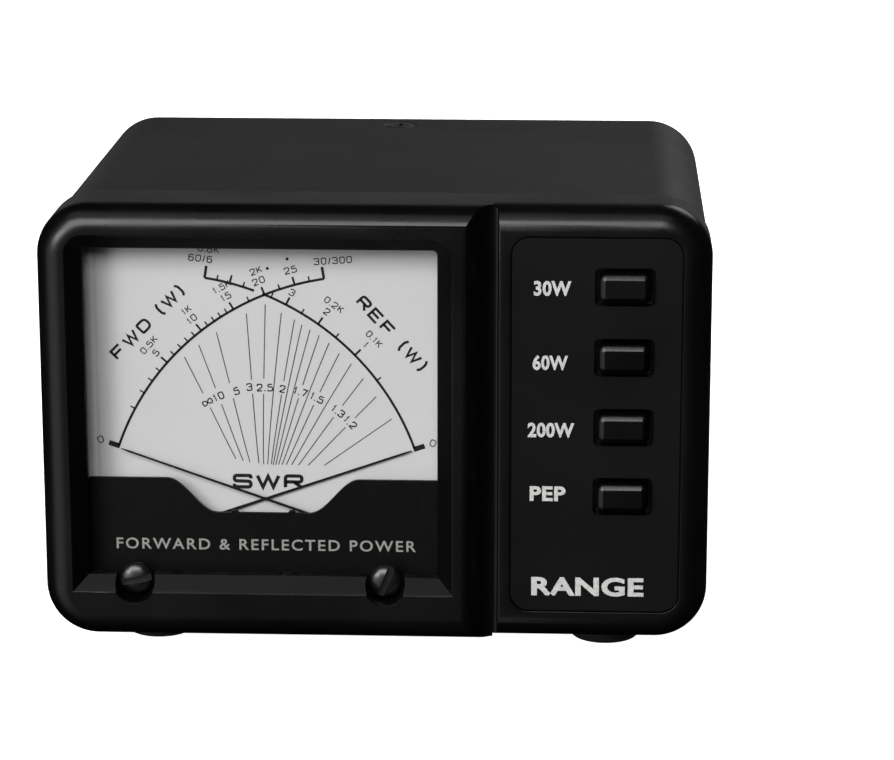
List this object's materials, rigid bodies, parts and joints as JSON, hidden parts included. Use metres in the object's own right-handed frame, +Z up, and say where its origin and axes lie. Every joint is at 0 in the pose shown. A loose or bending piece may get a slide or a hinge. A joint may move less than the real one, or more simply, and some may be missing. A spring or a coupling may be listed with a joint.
{
  "type": "swr and power meter",
  "caption": "Free-standing cross-needle SWR and power meter with push-button ranges in a rounded metal case with coaxial line sockets at the back.",
  "frame": {"origin": "centre of the bounding box's base, on the surface under the feet", "axes": "+X to the right seen from the front, +Y from the front to the back, +Z up"},
  "size_m": [0.12, 0.105, 0.0852],
  "materials": {
    "bezel_plastic": "black moulded plastic, satin gloss",
    "label_film": "matt black label with pale print",
    "cover_paint": "dark charcoal paint, fine texture",
    "steel": "plated steel",
    "foot_rubber": "black rubber",
    "lens_clear": "clear acrylic",
    "case_plastic": "black plastic",
    "mask_black": "satin black",
    "dial_white": "matt white with printed scales",
    "lamp_glass": "clear glass lamp",
    "pointer_black": "black",
    "copper": "copper",
    "soft_iron": "soft iron",
    "magnet": "sintered magnet",
    "brass": "machined brass",
    "spring_bronze": "phosphor bronze",
    "screw_black": "black plastic",
    "cap_plastic": "black satin plastic",
    "white_plastic": "white plastic",
    "board_green": "green board with fitted parts",
    "tinplate": "tinplate",
    "ferrite": "dark ferrite",
    "nickel": "nickel plate"
  },
  "bodies": {
    "housing": {"front_bezel": "bezel_plastic", "label_plate": "label_film", "top_cover": "cover_paint", "chassis_pan": "cover_paint", "rear_panel": "cover_paint", "cover_screw_top": "steel", "cover_screw_left": "steel", "cover_screw_right": "steel", "foot_front_left": "foot_rubber", "foot_front_right": "foot_rubber", "foot_rear_left": "foot_rubber", "foot_rear_right": "foot_rubber", "meter_lens": "lens_clear", "meter_mask": "mask_black", "dial_plate": "dial_white", "meter_case": "case_plastic", "dial_lamp": "lamp_glass", "switch_bank": "case_plastic", "switch_board": "board_green", "coupler_box": "tinplate", "line_rod": "copper", "toroid_core": "ferrite", "main_board": "board_green", "supply_socket_body": "case_plastic", "supply_socket_pin": "nickel", "hairspring_fwd": "spring_bronze", "core_magnet_fwd": "magnet", "yoke_fwd": "soft_iron", "bridge_fwd": "brass", "hairspring_ref": "spring_bronze", "core_magnet_ref": "magnet", "yoke_ref": "soft_iron", "bridge_ref": "brass", "return_spring_range_1": "steel", "return_spring_range_2": "steel", "return_spring_range_3": "steel", "return_spring_peak": "steel", "tx_socket_shell": "nickel", "tx_socket_insulator": "white_plastic", "tx_socket_contact": "brass", "ant_socket_shell": "nickel", "ant_socket_insulator": "white_plastic", "ant_socket_contact": "brass"},
    "latch": {"latch_bar": "steel"},
    "button_range_1": {"button_cap_range_1": "cap_plastic", "plunger_range_1": "white_plastic"},
    "button_range_2": {"button_cap_range_2": "cap_plastic", "plunger_range_2": "white_plastic"},
    "button_range_3": {"button_cap_range_3": "cap_plastic", "plunger_range_3": "white_plastic"},
    "button_peak": {"button_cap_peak": "cap_plastic", "plunger_peak": "white_plastic"},
    "needle_fwd": {"pointer_fwd": "pointer_black", "coil_fwd": "copper"},
    "lever_fwd": {"zero_lever_fwd": "brass"},
    "adjuster_fwd": {"zero_screw_fwd": "screw_black"},
    "needle_ref": {"pointer_ref": "pointer_black", "coil_ref": "copper"},
    "lever_ref": {"zero_lever_ref": "brass"},
    "adjuster_ref": {"zero_screw_ref": "screw_black"}
  },
  "joints": [
    {"name": "range_1_button_push", "type": "slide", "parent": "housing", "child": "button_range_1", "axis": [0, 1, 0], "range_m": [0, 0.0025], "stiffness_N_per_m": 200, "springref_m": -0.0025, "deforming": ["return_spring_range_1"]},
    {"name": "range_2_button_push", "type": "slide", "parent": "housing", "child": "button_range_2", "axis": [0, 1, 0], "range_m": [0, 0.0025], "stiffness_N_per_m": 200, "springref_m": -0.0025, "deforming": ["return_spring_range_2"]},
    {"name": "range_3_button_push", "type": "slide", "parent": "housing", "child": "button_range_3", "axis": [0, 1, 0], "range_m": [0, 0.0025], "stiffness_N_per_m": 200, "springref_m": -0.0025, "deforming": ["return_spring_range_3"]},
    {"name": "peak_button_push", "type": "slide", "parent": "housing", "child": "button_peak", "axis": [0, 1, 0], "range_m": [0, 0.0025], "stiffness_N_per_m": 200, "springref_m": -0.0025, "deforming": ["return_spring_peak"]},
    {"name": "latch_bar_shift", "type": "slide", "parent": "housing", "child": "latch", "axis": [0, 0, 1], "range_m": [-0.0012, 0.0012], "stiffness_N_per_m": 300},
    {"name": "needle_fwd_swing", "type": "hinge", "parent": "housing", "child": "needle_fwd", "pos_m": [-0.0018, -0.0395, 0.0233], "axis": [0, 1, 0], "range_deg": [0, 64], "stiffness_Nm_per_rad": 0.0002, "springref_deg": -8.59, "deforming": ["hairspring_fwd"]},
    {"name": "zero_screw_fwd_turn", "type": "hinge", "parent": "housing", "child": "adjuster_fwd", "pos_m": [0.0019, -0.0465, 0.0158], "axis": [0, 1, 0], "range_deg": [-45, 45]},
    {"name": "zero_lever_fwd_turn", "type": "hinge", "parent": "housing", "child": "lever_fwd", "pos_m": [-0.0018, -0.0422, 0.0233], "axis": [0, 1, 0], "range_deg": [-5.6, 5.6]},
    {"name": "needle_ref_swing", "type": "hinge", "parent": "housing", "child": "needle_ref", "pos_m": [-0.0382, -0.0395, 0.0233], "axis": [0, -1, 0], "range_deg": [0, 64], "stiffness_Nm_per_rad": 0.0002, "springref_deg": -8.59, "deforming": ["hairspring_ref"]},
    {"name": "zero_screw_ref_turn", "type": "hinge", "parent": "housing", "child": "adjuster_ref", "pos_m": [-0.0435, -0.0465, 0.0157], "axis": [0, 1, 0], "range_deg": [-45, 45]},
    {"name": "zero_lever_ref_turn", "type": "hinge", "parent": "housing", "child": "lever_ref", "pos_m": [-0.0382, -0.0422, 0.0233], "axis": [0, 1, 0], "range_deg": [-5.6, 5.6]}
  ],
  "couplings": [
    {"joint": "zero_lever_fwd_turn", "follows": "zero_screw_fwd_turn", "ratio": -0.12059},
    {"joint": "zero_lever_ref_turn", "follows": "zero_screw_ref_turn", "ratio": -0.10758}
  ]
}
